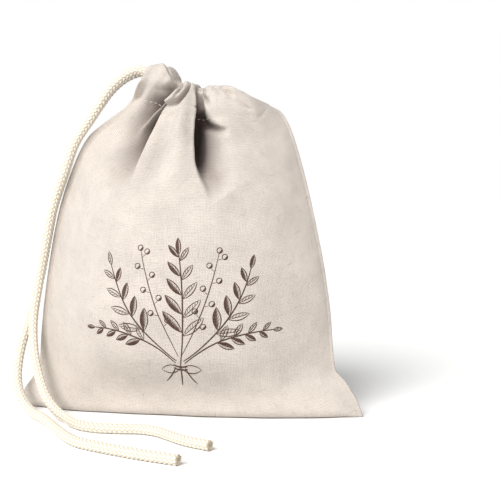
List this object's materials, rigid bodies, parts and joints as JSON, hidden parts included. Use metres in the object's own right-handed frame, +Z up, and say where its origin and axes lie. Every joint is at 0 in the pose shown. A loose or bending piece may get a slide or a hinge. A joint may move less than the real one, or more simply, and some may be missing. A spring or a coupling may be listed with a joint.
{
  "type": "drawstring bread bag",
  "caption": "Linen bag standing full and drawn shut, with folded seams, a gathered heading and a braided cord that hangs to the table.",
  "frame": {"origin": "middle of the bag's base, on the table", "axes": "+X from the corded side to the plain side, +Y from the front panel to the back panel, +Z up"},
  "size_m": [0.2944, 0.2247, 0.2886],
  "materials": {
    "linen": "natural undyed plain weave linen, matt",
    "cord": "off-white braided cotton, matt"
  },
  "bodies": {
    "root": {"front_panel": "linen", "back_panel": "linen", "cord_in_heading": "cord", "cord_front_tail": "cord", "cord_back_tail": "cord"}
  },
  "joints": []
}
